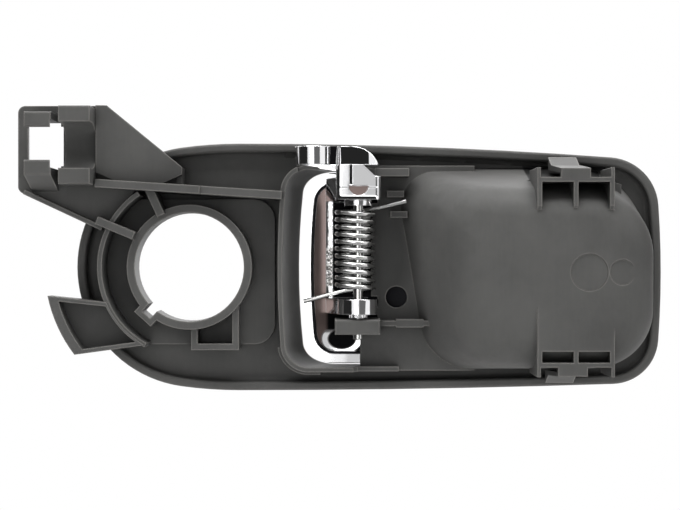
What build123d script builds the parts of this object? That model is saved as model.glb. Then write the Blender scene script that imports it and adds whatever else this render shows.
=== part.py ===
from build123d import *
from math import acos, atan2, cos, degrees, hypot, radians, sin, tan
import os

# Interior door handle as it is fitted to a door. X runs along the bezel towards the finger pocket,
# Y points into the cabin and Z is up. The origin lies on the axis of the round switch hole, in the
# plane where the rim seats on the door trim, so everything behind the trim has negative Y.

# Bezel edge, drawn in X and Z
nose_x = 1.8
nose_r = 37.4
shoulder_z = 38.3
shoulder_angle = 8.0
bezel_right_x = 145.6
right_bow = 2.0
top_corner_z = 33.0
bottom_corner_z = -35.9
top_corner_r = 16.0
bottom_corner_r = 14.5

# Bezel section
rim_wall = 2.8
rim_lip_r = 0.9
plate_front_y = 6.0
plate_wall = 2.7
front_edge_r = 3.6
root_r = 1.4

# Switch hole with its ring, keyway and raised deck
switch_r = 16.65
ring_wall = 2.45
ring_rear_y = -7.0
key_angle = 228.0
key_width = 3.4
key_depth = 3.0
key_wall = 1.7
deck_rear_y = 0.6
deck_wall = 2.3
deck_right_x = 25.8
deck_top_z = 21.0
deck_bottom_z = -24.0
deck_corner_r = 6.5

# Guard wall round the switch and the ribs that stand on the plate
guard_r = 27.8
guard_wall = 1.45
guard_rear_y = -9.0
guard_start_angle = 124.0
guard_end_angle = 241.0
rib_wall = 2.5
cross_rib_left_x = -28.0
cross_rib_left_z = 25.4
cross_rib_right_z = 21.8
cross_rib_rear_y = -12.0
cross_rib_step_x = 3.7
cross_rib_step = 0.9
spoke_top_x = -12.4
spoke_angle = 118.0
switch_box_left_x = 0.4
switch_box_right_x = 15.0
switch_box_bottom_z = -25.4
switch_box_wall = 2.0
switch_box_rear_y = -5.6

# Locating hook behind the trim, left of the switch
trim_gap = 3.2
hook_r = 43.6
hook_outer_wall = 2.9
hook_wall = 1.35
hook_floor = 1.6
hook_top_z = -8.6
hook_top_fall = 1.7
hook_bottom_z = -27.8
hook_bottom_rise = 4.3
hook_rear_y = -9.4

# Cable sleeve bracket
bracket_left_x = -52.3
bracket_right_x = -25.0
bracket_top_z = 49.2
bracket_bottom_z = 23.2
bracket_edge_slope = -25.0
bracket_corner_r = 2.2
bracket_front_y = -4.5
bracket_wall = 2.0
bracket_edge_rib = 1.4
bracket_edge_rib_rear_y = -8.6
bar_angle = 150.0
socket_z = 36.5
socket_y = -13.4
socket_r = 6.9
socket_jaw_wall = 4.8
socket_left_x = -37.8
socket_right_x = -28.4
neck_z = 36.9
neck_half_gap = 4.8
neck_jaw_wall = 4.7
neck_draft = 1.3
notch_width = 3.4
notch_depth = 2.4
notch_slant = 3.2
neck_left_x = -48.0
neck_right_x = -40.0
jaw_rear_y = -18.0
jaw_edge_r = 0.6
opening_left_x = -49.3
opening_right_x = -38.4
web_bracket_y = -8.0
web_foot_x = -2.4
web_wall = 1.8
web_foot_top_z = 30.6
web_foot_bottom_z = 28.4
web_knee_left = 0.4
web_knee_right = 0.7

# Pivot of the lever and its pin
pivot_x = 51.5
pivot_y = -8.0
pin_r = 1.5
pin_tip_length = 1.8
pin_chamfer = 0.4
pin_clearance = 0.05
pin_seat_clearance = 0.02

# Pull lever paddle, drawn in X and Z
lever_left_x = 34.0
lever_right_x = 90.0
lever_top_z = 29.2
lever_bottom_z = -29.9
lever_left_bow = 1.6
lever_left_corner_r = 9.5
lever_right_corner_r = 13.0
lever_rear_y = 1.2
lever_front_y = 8.8
lever_crown_r = 140.0
lever_edge_r = 2.4
lever_rim = 3.7
lever_wall = 2.4
lever_rim_step = 0.8
lever_gap = 0.6

# Lever cranks behind the paddle
hub_r = 6.2
upper_hub_bottom_z = 20.3
upper_hub_top_z = 27.3
crank_face_y = -15.5
crank_half_width = 6.7
crank_corner_r = 1.6
crank_cover_wall = 1.5
crank_cover_top = 1.4
crank_cover_low = 5.0
crank_groove = 0.7
crank_recess_r = 3.0
cable_arm_bottom_z = 30.7
cable_arm_top_z = 36.2
cable_arm_reach = 13.5
cable_arm_back = 4.5
cable_hub_r = 5.6
cable_barrel_r = 5.5
cable_bar_width = 5.2
cable_shoulder_r = 8.4
cable_shoulder_left = 1.9
arm_gusset = 1.5
arm_gusset_reach = 10.4
lower_hub_height = 4.6
neck_r = 2.4
neck_rib = 0.35
neck_rib_width = 0.7
neck_rib_count = 12
neck_length = 1.4
neck_gap = 0.2
spring_boss_r = 4.2
spring_boss_gap = 0.5
spine_left_x = 41.7
spine_wall = 2.1
spine_rear_y = 0.3

# Lever window, well floor and ears of the housing
window_r = 23.1
window_wall = 1.4
window_corner_r = 7.0
window_rear_y = -9.0
window_top_rear_y = -6.0
corner_rib = 0.9
corner_rib_top_z = -24.5
corner_rib_right_x = 40.0
corner_rib_rear_y = -7.4
ridge_right_x = 64.0
ridge_rear_y = -4.4
swing_start_angle = 84.0
swing_sweep = 120.0
well_rear_y = -1.6
well_wall = 2.2
well_left_x = 57.6
well_tongue_left_x = 55.6
shelf_left_x = 47.8
ear_height = 4.6
ear_rear_y = -13.5
ear_left_reach = 7.1
ear_right_reach = 6.6
ear_edge_r = 0.8
top_ear_r = 5.2
top_ear_wall = 2.5
top_ear_gap = 0.3
top_ear_rear = 1.2
top_ear_right_x = 67.0
ear_rib_drop = 1.5
ear_rib_right_x = 74.0
ear_rib_rear_y = -6.5
leg_rib_rear_y = -5.4
leg_rib_left_x = 60.4
leg_rib_length = 5.2
leg_rib_wall = 2.0
leg_rib_high_z = 22.4
leg_rib_low_z = 16.1
screw_x = 63.4
screw_z = -9.3
screw_r = 3.3

# Finger pocket, outside sizes at its foot and its floor
pocket_wall = 1.5
pocket_channel = 2.3
pocket_foot_left_top_x = 58.5
pocket_foot_left_bottom_x = 70.5
foot_left_top_r = 10.0
foot_right_top_r = 22.0
foot_right_bottom_r = 18.0
foot_left_bottom_r = 17.0
pocket_floor_y = -30.0
pocket_floor_left_x = 84.0
pocket_floor_right_draft = 2.7
pocket_floor_top_z = 21.0
pocket_floor_bottom_z = -28.6
floor_left_top_r = 14.0
floor_right_top_r = 20.0
floor_right_bottom_r = 17.0
floor_left_bottom_r = 14.0
pocket_floor_r = 11.0
pocket_dome_r = 130.0
pocket_dome_x = 118.0
large_mark_x = 118.0
large_mark_r = 5.4
small_mark_x = 127.6
small_mark_r = 3.7
mark_z = -1.3
mark_step = 0.25

# Snap clips above and below the pocket
clip_x = 114.3
clip_half_width = 11.2
clip_tongue_half_width = 4.3
lower_tongue_shift = -0.9
clip_wall = 1.4
clip_tongue_wall = 1.4
clip_gap = 1.2
clip_barb_rise = 2.6
clip_barb_ramp = 6.0
clip_root_y = -12.0
clip_rear_y = -28.8
clip_fold_wall = 2.2
clip_cheek = 2.8
clip_cheek_wall = 1.0
clip_tongue_rise = 0.2
upper_clip_z = 25.6
upper_clip_tip_z = 31.2
lower_clip_z = -28.2
lower_clip_tip_z = -33.0
clip_gusset = 5.0
clip_pad_z = -24.3
clip_fade_z = 18.0

# Torsion return spring
wire_r = 0.7
coil_r = 5.6
coil_offset = -0.8
coil_top_z = 17.4
coil_pitch = 2.2
coil_turns = 11
upper_leg_end_x = 66.3
upper_leg_end_y = -7.6
upper_leg_rise = 2.7
lower_leg_fall = 3.8
leg_seat_gap = 0.15
coil_seat_gap = 2.9

plate_rear_y = plate_front_y - plate_wall
ring_r = switch_r + ring_wall
bracket_rear_y = bracket_front_y - bracket_wall
window_top_z = lever_top_z + lever_gap
window_bottom_z = lever_bottom_z - lever_gap
well_front_y = well_rear_y + well_wall
top_ear_bottom_z = upper_hub_top_z + top_ear_gap
top_ear_top_z = top_ear_bottom_z + top_ear_wall
coil_x = pivot_x + coil_offset
lower_hub_top_z = coil_top_z - coil_turns * coil_pitch - coil_seat_gap
lower_hub_bottom_z = lower_hub_top_z - lower_hub_height
ear_top_z = lower_hub_bottom_z - neck_length
ear_bottom_z = ear_top_z - ear_height
ear_rib_z = ear_top_z - ear_rib_drop
pivot_axis = Axis((pivot_x, pivot_y, 0), (0, 0, 1))
through = 200.0


def slab(sketch, y_front, y_rear):
    """Solid with an X and Z outline, from its cabin side back to its door side."""
    return extrude(Plane.XZ.offset(-y_front) * sketch, amount=y_front - y_rear, dir=(0, -1, 0))


def column(sketch, z_low, z_high):
    """Solid with an X and Y outline, standing between two heights."""
    return extrude(Plane.XY.offset(z_low) * sketch, amount=z_high - z_low, dir=(0, 0, 1))


def beam(profile, x_low, x_high):
    """Solid with a Y and Z outline, running along X between two places."""
    return extrude(Plane.YZ.offset(x_low) * profile, amount=x_high - x_low, dir=(1, 0, 0))


def block(x_low, x_high, y_low, y_high, z_low, z_high):
    """Box given by its limits."""
    middle = Pos((x_low + x_high) / 2, (y_low + y_high) / 2, (z_low + z_high) / 2)
    return middle * Box(x_high - x_low, y_high - y_low, z_high - z_low)


def window(x_low, x_high, z_low, z_high):
    """Rectangle sketch given by its limits."""
    return Pos((x_low + x_high) / 2, (z_low + z_high) / 2) * Rectangle(x_high - x_low, z_high - z_low)


def strip(start, end, width):
    """Rectangle sketch with its centre line between two points."""
    across = end[0] - start[0]
    along = end[1] - start[1]
    middle = Pos((start[0] + end[0]) / 2, (start[1] + end[1]) / 2)
    return middle * Rot(0, 0, degrees(atan2(along, across))) * Rectangle(hypot(across, along), width)


def polar(radius, angle):
    """Point at a radius and an angle from the origin."""
    return (radius * cos(radians(angle)), radius * sin(radians(angle)))


def arc_strip(r_in, r_out, start_angle, end_angle):
    """Part of a flat ring between two angles."""
    outer = CenterArc((0, 0), r_out, start_angle, end_angle - start_angle)
    inner = CenterArc((0, 0), r_in, start_angle, end_angle - start_angle)
    return make_face([outer, Line(outer @ 1, inner @ 1), inner, Line(inner @ 0, outer @ 0)])


def rounded(points, radii):
    """Polygon sketch with a radius of its own at each corner."""
    return make_face(FilletPolyline(*points, radius=radii, close=True))


def bezel_outline(inset):
    """Edge of the bezel, or a line inside it: a round nose, large shoulders and the long edges."""
    swing = radians(shoulder_angle)
    radius = nose_r - inset
    high = shoulder_z - inset
    shoulder_r = (high - radius * cos(swing)) / (1 - cos(swing))
    shoulder_x = nose_x + (shoulder_r - radius) * sin(swing)
    nose_end = (nose_x - radius * sin(swing), radius * cos(swing))
    low_nose_end = (nose_end[0], -nose_end[1])
    right_x = bezel_right_x - inset
    corner_x = right_x - right_bow
    nose = ThreePointArc(low_nose_end, (nose_x - radius, 0), nose_end)
    upper = TangentArc(nose_end, (shoulder_x, high), tangent=nose % 1)
    lower = TangentArc(low_nose_end, (shoulder_x, -high), tangent=(nose % 0) * -1)
    top = TangentArc((shoulder_x, high), (corner_x, top_corner_z - inset), tangent=(1, 0))
    bottom = TangentArc((shoulder_x, -high), (corner_x, bottom_corner_z + inset), tangent=(1, 0))
    right = ThreePointArc(top @ 1, (right_x, 0), bottom @ 1)
    outline = make_face([nose, upper, top, right, bottom, lower])
    outline = fillet(corner(outline, top @ 1), top_corner_r - inset)
    return fillet(corner(outline, bottom @ 1), bottom_corner_r - inset)


def corner(sketch, point):
    """Vertex of a sketch that lies nearest to a point."""
    return sketch.vertices().sort_by_distance(Vector(point))[:1]


def bezel_shell():
    """Bezel plate with its rim turned back to the trim."""
    outside = slab(bezel_outline(0), plate_front_y, 0)
    outside = fillet(outside.edges().group_by(Axis.Y)[-1], front_edge_r)
    inside = slab(bezel_outline(rim_wall), plate_rear_y, -1)
    inside = fillet(inside.edges().group_by(Axis.Y)[-1], root_r)
    shell = outside - inside
    return fillet(shell.edges().group_by(Axis.Y)[0], rim_lip_r)


def deck_outline(inset):
    """Deck round the switch: round on the left, a rounded rectangle on the right."""
    low = deck_bottom_z + inset
    high = deck_top_z - inset
    radius = guard_r - guard_wall / 2 - inset
    left = Circle(radius) & window(-guard_r, 0, low, high)
    width = deck_right_x - inset + switch_r
    right = Pos(deck_right_x - inset - width / 2, (low + high) / 2)
    right = right * RectangleRounded(width, high - low, deck_corner_r - inset)
    return left + right


def switch_seat():
    """Deck, ring and keyway boss that carry the round switch."""
    deck = slab(deck_outline(0), plate_front_y - plate_wall / 2, deck_rear_y)
    ring = slab(Circle(ring_r), plate_front_y - plate_wall / 2, ring_rear_y)
    reach = switch_r + key_depth + key_wall
    half = key_width / 2 + key_wall
    key_boss = Rot(0, 0, key_angle) * window(switch_r, reach, -half, half)
    return deck + ring + slab(key_boss, deck_rear_y + deck_wall / 2, ring_rear_y)


def switch_cut():
    """Bore of the ring with its keyway, and the recess on the cabin side of the deck."""
    keyway = Rot(0, 0, key_angle) * window(0, switch_r + key_depth, -key_width / 2, key_width / 2)
    bore = slab(Circle(switch_r) + keyway, plate_front_y + 1, ring_rear_y - 1)
    recess = slab(deck_outline(deck_wall), plate_front_y + 1, deck_rear_y + deck_wall)
    return bore + recess


def switch_box():
    """Three-sided rib box under the switch ring."""
    outside = window(switch_box_left_x, switch_box_right_x, switch_box_bottom_z, 0)
    inside = window(switch_box_left_x + switch_box_wall, switch_box_right_x - switch_box_wall,
                    switch_box_bottom_z + switch_box_wall, 0)
    walls = outside - inside - Circle(ring_r - ring_wall / 2)
    return slab(walls, plate_front_y - plate_wall / 2, switch_box_rear_y)


def cross_rib_z(x):
    """Height of the cross rib's centre line at a place along the bezel."""
    right_x = pivot_x - window_r
    share = (x - cross_rib_left_x) / (right_x - cross_rib_left_x)
    return cross_rib_left_z + (cross_rib_right_z - cross_rib_left_z) * share


def plate_ribs():
    """Guard wall, cross rib and spoke on the door side of the plate."""
    front = plate_front_y - plate_wall / 2
    right_x = pivot_x - window_r
    guard = arc_strip(guard_r - guard_wall, guard_r, guard_start_angle, guard_end_angle)
    left_end = (cross_rib_left_x, cross_rib_z(cross_rib_left_x))
    step_end = (cross_rib_step_x, cross_rib_z(cross_rib_step_x))
    right_end = (right_x, cross_rib_z(right_x))
    inner_x = -guard_r * cos(radians(180 - guard_start_angle)) - rib_wall
    inner_end = (inner_x, cross_rib_z(inner_x))
    spoke_top = (spoke_top_x, cross_rib_z(spoke_top_x))
    spoke = strip(spoke_top, polar(ring_r - ring_wall / 2, spoke_angle), rib_wall)
    ribs = slab(guard, front, guard_rear_y)
    ribs += slab(strip(left_end, step_end, rib_wall), bracket_front_y - bracket_wall / 2, cross_rib_rear_y)
    ribs += slab(strip(inner_end, step_end, rib_wall), front, cross_rib_rear_y + cross_rib_step)
    ribs += slab(strip(step_end, right_end, rib_wall), front, cross_rib_rear_y + cross_rib_step)
    return ribs + slab(spoke, front, guard_rear_y)


def hook_outline(inset):
    """Locating hook: a band left of the guard wall."""
    left = -hook_r
    right = -guard_r * cos(radians(guard_end_angle - 180)) + hook_wall
    top_slope = -hook_top_fall / (hook_r - guard_r)
    top_right = hook_top_z + top_slope * (right - left)
    bottom_right = hook_bottom_z + hook_bottom_rise
    band = Polygon((left, hook_top_z - inset), (right, top_right - inset),
                   (right, bottom_right + inset), (left, hook_bottom_z + inset), align=None)
    return band


def locating_hook():
    """Open box tab that reaches behind the trim."""
    front = -trim_gap
    guard_middle = Circle(guard_r - guard_wall / 2)
    outside = (hook_outline(0) & Circle(hook_r)) - guard_middle
    inside = (hook_outline(hook_wall) & Circle(hook_r - hook_outer_wall)) - Circle(guard_r)
    return slab(outside, front, hook_rear_y) - slab(inside, front - hook_floor, hook_rear_y - 1)


def bracket_edge(x):
    """Height of the bracket's slanted lower edge."""
    return bracket_bottom_z + (x - bracket_left_x) * tan(radians(bracket_edge_slope))


def bracket_plate():
    """Plate of the cable bracket with its opening and the rib along its lower edge."""
    guard_x = -guard_r * cos(radians(180 - guard_start_angle))
    low_right_x = -guard_r + guard_wall
    outline = rounded([(bracket_left_x, bracket_top_z), (bracket_right_x, bracket_top_z),
                       (bracket_right_x, socket_z), (guard_x, cross_rib_z(guard_x)),
                       (low_right_x, bracket_edge(low_right_x)), (bracket_left_x, bracket_bottom_z)],
                      [bracket_corner_r, 0, 0, 0, 0, bracket_corner_r])
    outline -= Circle(guard_r - guard_wall / 2)
    half_gap = neck_half_gap + neck_draft
    opening = window(opening_left_x, opening_right_x, neck_z - half_gap, neck_z + half_gap)
    edge_rib = strip((bracket_left_x + bracket_corner_r, bracket_edge(bracket_left_x + bracket_corner_r)
                      + bracket_edge_rib / 2),
                     (low_right_x, bracket_edge(low_right_x) + bracket_edge_rib / 2), bracket_edge_rib)
    bar_end = polar(ring_r, bar_angle)
    bar_start_x = low_right_x - bracket_edge_rib
    bar = strip((bar_start_x, bracket_edge(bar_start_x) + rib_wall), bar_end, rib_wall)
    plate = slab(outline - opening, bracket_front_y, bracket_rear_y)
    plate += slab(edge_rib, bracket_front_y, bracket_edge_rib_rear_y)
    return plate + slab(bar, bracket_front_y, guard_rear_y - bracket_edge_rib)


def bracket_jaws():
    """Cradle and neck jaws that clip round the end of the cable sleeve."""
    front = bracket_rear_y + bracket_wall / 2
    outer = socket_r + socket_jaw_wall
    cradle = block(socket_left_x, socket_right_x, jaw_rear_y, front, socket_z - outer, socket_z + outer)
    cradle = fillet(cradle.edges().filter_by(Axis.X).group_by(Axis.Y)[0], jaw_edge_r)
    barrel = beam(Pos(socket_y, socket_z) * Circle(socket_r), -through, through)
    mouth = block(-through, through, jaw_rear_y - 1, socket_y, socket_z - socket_r, socket_z + socket_r)
    cradle -= (barrel + mouth) & block(socket_left_x - 1, socket_right_x + 1, -through, bracket_rear_y,
                                       -through, through)
    jaws = cradle
    for side in (1, -1):
        near = neck_z + side * neck_half_gap
        far = near + side * neck_jaw_wall
        profile = Polygon((jaw_rear_y, near), (jaw_rear_y, far), (front, far),
                          (front, near + side * neck_draft), align=None)
        jaw = beam(profile, neck_left_x, neck_right_x)
        jaws += fillet(jaw.edges().filter_by(Axis.X).group_by(Axis.Y)[0], jaw_edge_r)
    low = neck_z - neck_half_gap - neck_jaw_wall
    return jaws + jaw_gusset(low, front)


def neck_notches():
    """Slanted notches at the inner ends of the neck jaws, through the jaws and the bracket's plate."""
    rear = jaw_rear_y - 1
    plan = Polygon((neck_right_x - notch_slant, bracket_front_y + 1),
                   (neck_right_x - notch_slant + notch_width, bracket_front_y + 1),
                   (neck_right_x + notch_width, rear), (neck_right_x, rear), align=None)
    plan &= window(-through, socket_left_x - jaw_edge_r, -through, through)
    reach = neck_half_gap + notch_depth
    return column(plan, neck_z - reach, neck_z + reach)


def jaw_gusset(top_z, front):
    """Wedge under the lower neck jaw, down to the plate."""
    profile = Polygon((jaw_rear_y + jaw_edge_r, top_z), (front, top_z),
                      (front, top_z - neck_jaw_wall), align=None)
    return beam(profile, neck_left_x, neck_right_x)


def bracket_web():
    """Sloped web that braces the bracket behind the trim, with a small wall down to the plate."""
    foot_y = -trim_gap - web_wall / 2
    slope = column(strip((socket_right_x, web_bracket_y), (web_foot_x, foot_y), web_wall), 0, through)
    left_x = socket_right_x - web_wall
    middle_left_x = left_x + (web_foot_x - left_x) * web_knee_left
    middle_right_x = left_x + (web_foot_x - left_x) * web_knee_right
    face = Polygon((left_x, bracket_top_z), (bracket_right_x, bracket_top_z), (web_foot_x, web_foot_top_z),
                   (web_foot_x, web_foot_bottom_z), (middle_right_x, cross_rib_z(middle_right_x)),
                   (middle_left_x, cross_rib_z(middle_left_x)), (left_x, socket_z - socket_r), align=None)
    web = slope & slab(face, plate_front_y, -through)
    foot_wall = window(web_foot_x - web_wall, web_foot_x, cross_rib_z(web_foot_x), web_foot_top_z)
    return web + slab(foot_wall, plate_front_y - plate_wall / 2, foot_y)


def window_section(extra):
    """Half section of the lever window, in the plane of the pivot, out to a wall thickness."""
    left_x = pivot_x - window_r - extra
    top = window_top_z + extra
    low = window_bottom_z - extra
    middle = (top + low) / 2
    side = ThreePointArc((left_x + lever_left_bow, low), (left_x, middle), (left_x + lever_left_bow, top))
    face = make_face([side, Line(side @ 1, (pivot_x, top)), Line((pivot_x, top), (pivot_x, low)),
                      Line((pivot_x, low), side @ 0)])
    face = fillet(corner(face, side @ 1), window_corner_r + extra)
    return fillet(corner(face, side @ 0), window_corner_r + extra)


def window_swing(extra):
    """Window section carried round the pivot, so its wall follows the lever's left end."""
    section = Plane.XZ.offset(-pivot_y) * window_section(extra)
    section = section.rotate(pivot_axis, swing_start_angle - 180)
    return revolve(section, pivot_axis, swing_sweep)


def window_frame():
    """Wall round the lever window, open to the door side."""
    front = plate_front_y - plate_wall / 2
    wall = window_swing(window_wall)
    keep = block(-through, pivot_x, window_rear_y, front, -through, through)
    top_cut = block(pivot_x - window_r + lever_left_corner_r / 2, through, -through, window_top_rear_y,
                    window_top_z - lever_left_corner_r / 2, through)
    corner_keep = block(-through, corner_rib_right_x, corner_rib_rear_y, front, -through, corner_rib_top_z)
    return (wall & keep) - top_cut + (window_swing(window_wall + corner_rib) & corner_keep)


def well():
    """Floor and side walls behind the lever, right of the window."""
    front = plate_front_y - plate_wall / 2
    right_x = pocket_foot_left_bottom_x + foot_left_bottom_r
    low = window_bottom_z - pocket_wall
    high = window_top_z + pocket_wall
    floor = window(well_left_x, right_x, low, high) + window(shelf_left_x, right_x, low, ear_top_z)
    floor += window(well_tongue_left_x, right_x, lower_hub_top_z + lever_gap, upper_hub_bottom_z - lever_gap)
    side_walls = window(pivot_x - 1, right_x, low, high)
    side_walls -= window(0, right_x + 1, window_bottom_z, window_top_z)
    ridge = window(pivot_x - 1, ridge_right_x, low, window_bottom_z)
    walls = slab(side_walls, front, well_rear_y) + slab(ridge, front, ridge_rear_y)
    return slab(floor, well_front_y, well_rear_y) + walls


def ears():
    """Lower and upper ear for the pivot pin, with the ribs that stiffen them."""
    front = well_rear_y + well_wall / 2
    left = pivot_x - ear_left_reach
    right = pivot_x + ear_right_reach
    lower = block(left, right, ear_rear_y, front, ear_bottom_z, ear_top_z)
    lower = fillet(lower.edges().filter_by(Axis.Z) + lower.edges().group_by(Axis.Y)[0], ear_edge_r)
    bar = Pos((pivot_x + top_ear_right_x) / 2, (pivot_y - top_ear_rear + front) / 2)
    bar = bar * Rectangle(top_ear_right_x - pivot_x, front - pivot_y + top_ear_rear)
    upper = column(Pos(pivot_x, pivot_y) * Circle(top_ear_r) + bar, top_ear_bottom_z, top_ear_top_z)
    bore = Pos(pivot_x, pivot_y, 0) * Cylinder(pin_r + pin_seat_clearance, through)
    thin = block(right - 1, ear_rib_right_x, ear_rib_rear_y, front,
                 ear_rib_z - rib_wall / 3, ear_rib_z + rib_wall / 3)
    thick = block(right + rib_wall * 2, ear_rib_right_x - rib_wall, ear_rib_rear_y, front,
                  ear_rib_z - rib_wall / 2, ear_rib_z + rib_wall / 2)
    return lower + upper - bore + thin + thick


def leg_ribs():
    """Two short ribs that locate the spring's upper leg."""
    front = well_rear_y + well_wall / 2
    half = leg_rib_wall / 2
    right = leg_rib_left_x + leg_rib_length
    above = block(leg_rib_left_x, right, leg_rib_rear_y, front, leg_rib_high_z - half, leg_rib_high_z + half)
    below = block(leg_rib_left_x + half, right + half, leg_rib_rear_y, front,
                  leg_rib_low_z - half, leg_rib_low_z + half)
    return above + below


def pocket_outline(at_floor, inset):
    """Outline of the finger pocket at its foot or at its floor."""
    foot_right_x = bezel_right_x - rim_wall - pocket_channel
    if at_floor:
        left_top = left_bottom = pocket_floor_left_x + inset
        right = foot_right_x - pocket_floor_right_draft - inset
        top = pocket_floor_top_z - inset
        low = pocket_floor_bottom_z + inset
        radii = (floor_left_top_r, floor_right_top_r, floor_right_bottom_r, floor_left_bottom_r)
    else:
        left_top = pocket_foot_left_top_x + inset
        left_bottom = pocket_foot_left_bottom_x + inset
        right = foot_right_x - inset
        top = window_top_z + pocket_wall - inset
        low = window_bottom_z - pocket_wall + inset
        radii = (foot_left_top_r, foot_right_top_r, foot_right_bottom_r, foot_left_bottom_r)
    return rounded([(left_top, top), (right, top), (right, low), (left_bottom, low)],
                   [radius - inset for radius in radii])


def pocket_dome(inset):
    """Large ball whose surface is the pocket's floor, less a wall thickness."""
    return Pos(pocket_dome_x, pocket_floor_y + pocket_dome_r, mark_z) * Sphere(pocket_dome_r - inset)


def pocket_body(inset):
    """Pillow of the finger pocket, as solid, from the plate to its rounded floor."""
    foot_y = plate_front_y - plate_wall / 2
    foot = Plane.XZ.offset(-foot_y) * pocket_outline(False, inset)
    floor = Plane.XZ.offset(-pocket_floor_y - inset) * pocket_outline(True, inset)
    body = loft([foot, floor], ruled=True) & pocket_dome(inset)
    rim = body.edges().filter_by(lambda edge: edge.center().Y < pocket_floor_y / 2)
    rim = rim.filter_by(lambda edge: abs(edge.tangent_at(0.5).Y) < 0.7)
    return fillet(rim, pocket_floor_r - inset)


def pocket_cut():
    """Inside of the finger pocket, the well in front of its floor and the mouth in the plate."""
    foot_y = plate_front_y - plate_wall / 2
    mouth = slab(pocket_outline(False, pocket_wall), plate_front_y + 1, foot_y)
    right_x = pocket_foot_left_bottom_x + foot_left_bottom_r
    trough = block(pivot_x - 1, right_x, well_front_y, plate_front_y + 1, window_bottom_z, window_top_z)
    return pocket_body(pocket_wall) + mouth + trough


def ejector_marks():
    """Shallow round marks on the back of the pocket."""
    marks = Pos(large_mark_x, mark_z) * Circle(large_mark_r)
    marks += Pos(small_mark_x, mark_z) * Circle(small_mark_r)
    return slab(marks, pocket_floor_y + pocket_wall, pocket_floor_y - 1) - pocket_dome(mark_step)


def clip_tower(plate_z, tip_z, tongue_x):
    """Snap clip: a plate on walls, and a tongue that folds back from it to a barb."""
    side = 1 if plate_z > 0 else -1
    rear = clip_rear_y
    left = clip_x - clip_half_width
    right = clip_x + clip_half_width
    tongue_left = tongue_x - clip_tongue_half_width
    tongue_right = tongue_x + clip_tongue_half_width
    root_z = 0
    plate_far = plate_z + side * clip_wall / 2
    plate_near = plate_z - side * clip_wall / 2
    tower = block(left, right, rear, clip_root_y, min(plate_near, plate_far), max(plate_near, plate_far))
    wall = Polygon((clip_root_y, root_z), (rear, side * clip_fade_z), (rear, plate_far),
                   (clip_root_y, plate_far), align=None)
    for x in (left, clip_x - clip_wall / 2, right - clip_wall):
        tower += beam(wall, x, x + clip_wall)
    fold = plate_far + side * (clip_gap + clip_tongue_wall)
    tower += block(tongue_left, tongue_right, rear, rear + clip_fold_wall,
                   min(plate_z, fold), max(plate_z, fold))
    barb_y = -trim_gap
    near = fold - side * clip_tongue_wall
    tongue = Polygon((rear, near), (rear, fold), (barb_y - clip_barb_ramp, tip_z - side * clip_tongue_rise),
                     (barb_y, tip_z + side * clip_barb_rise), (barb_y, tip_z - side * clip_tongue_wall),
                     align=None)
    tower += beam(tongue, tongue_left, tongue_right)
    for x, out in ((left, -1), (right, 1)):
        gusset = Polygon((x, plate_far), (x, root_z), (x + out * clip_gusset, root_z),
                         (x + out * clip_gusset, plate_near), align=None)
        tower += slab(gusset, clip_root_y + clip_wall, clip_root_y - clip_wall)
        cheek_x = x - out * clip_cheek_wall
        cheek_z = plate_far + side * clip_cheek
        tower += block(min(x, cheek_x), max(x, cheek_x), rear, clip_root_y,
                       min(plate_z, cheek_z), max(plate_z, cheek_z))
    return tower


def clip_pad():
    """Flat pad on the pocket's lower slope, that the lower clip stands on."""
    return block(clip_x - clip_half_width, clip_x + clip_half_width, clip_rear_y, clip_root_y, clip_pad_z, 0)


def housing():
    """Bezel housing: one moulding with every seat, rib, clip and bracket."""
    body = bezel_shell() + switch_seat() + plate_ribs() + locating_hook() + switch_box()
    body += bracket_plate() + bracket_jaws() - neck_notches() + bracket_web()
    body += window_frame() + well()
    body += pocket_body(0)
    body += clip_tower(upper_clip_z, upper_clip_tip_z, clip_x)
    body += clip_tower(lower_clip_z, lower_clip_tip_z, clip_x + lower_tongue_shift)
    body += clip_pad()
    body -= pocket_cut()
    body -= window_swing(0)
    body -= switch_cut()
    body += ears() + leg_ribs()
    body -= Pos(screw_x, 0, screw_z) * Rot(90, 0, 0) * Cylinder(screw_r, through)
    body -= ejector_marks()
    body -= Pos(pivot_x, pivot_y, 0) * Cylinder(pin_r + pin_seat_clearance, through)
    arm_room = Pos(pivot_x, pivot_y, (cable_arm_bottom_z + cable_arm_top_z) / 2)
    arm_height = cable_arm_top_z - cable_arm_bottom_z
    return body - arm_room * Cylinder(hub_r + lever_gap, arm_height + 2 * lever_gap)


def paddle_outline(inset):
    """Outline of the lever's paddle: bowed on the left, large corners at the grip."""
    left = lever_left_x + inset
    right = lever_right_x - inset
    top = lever_top_z - inset
    low = lever_bottom_z + inset
    bow = ThreePointArc((left + lever_left_bow, low), (left, (top + low) / 2), (left + lever_left_bow, top))
    face = make_face([bow, Line(bow @ 1, (right, top)), Line((right, top), (right, low)),
                      Line((right, low), bow @ 0)])
    for place, radius in ((bow @ 1, lever_left_corner_r), (bow @ 0, lever_left_corner_r),
                          ((right, top), lever_right_corner_r), ((right, low), lever_right_corner_r)):
        face = fillet(corner(face, place), radius - inset)
    return face


def crown(thickness):
    """Large cylinder whose surface is the lever's curved front, less a wall thickness."""
    middle_x = (lever_left_x + lever_right_x) / 2
    height = 2 * (lever_top_z - lever_bottom_z)
    return Pos(middle_x, lever_front_y - lever_crown_r, 0) * Cylinder(lever_crown_r - thickness, height)


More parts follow.
